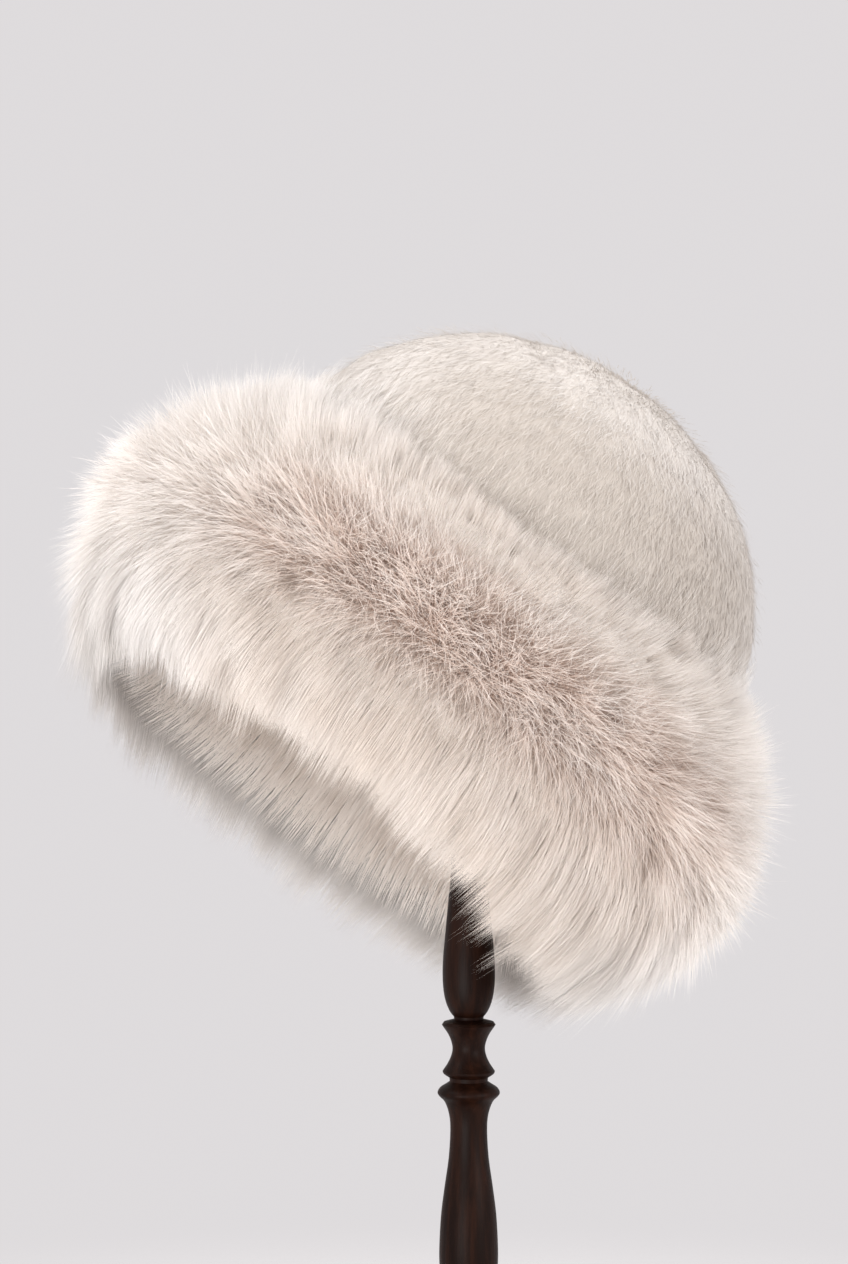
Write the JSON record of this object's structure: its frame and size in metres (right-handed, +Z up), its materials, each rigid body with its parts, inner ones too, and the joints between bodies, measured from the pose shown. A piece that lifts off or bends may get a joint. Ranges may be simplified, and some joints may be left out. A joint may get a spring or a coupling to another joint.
{
  "type": "fur hat on a turned wooden stand",
  "caption": "Cream fur hat with a domed crown of short dense pile and a wide turned-down brim of long fur, resting tilted on a dark turned wooden hat stand.",
  "frame": {"origin": "the middle of the flat underside of the stand's foot", "axes": "+Z up along the stand's spindle, -Y towards the front from which the picture was taken, +X towards the side that the hat leans to"},
  "size_m": [0.3145, 0.3383, 0.5028],
  "materials": {
    "pelt": "suede skin side of a fur pelt, warm beige",
    "short_fur": "short dense cream fur, soft and matte",
    "long_fur": "long silky cream fur with brownish pink roots",
    "dark_wood": "dark brown stained hardwood with a satin lacquer"
  },
  "bodies": {
    "root": {"crown_wall": "pelt", "crown_fur": "short_fur", "brim_wall": "pelt", "brim_fur": "long_fur", "stand_knob": "dark_wood", "stand_spindle": "dark_wood", "stand_foot": "dark_wood"}
  },
  "joints": []
}
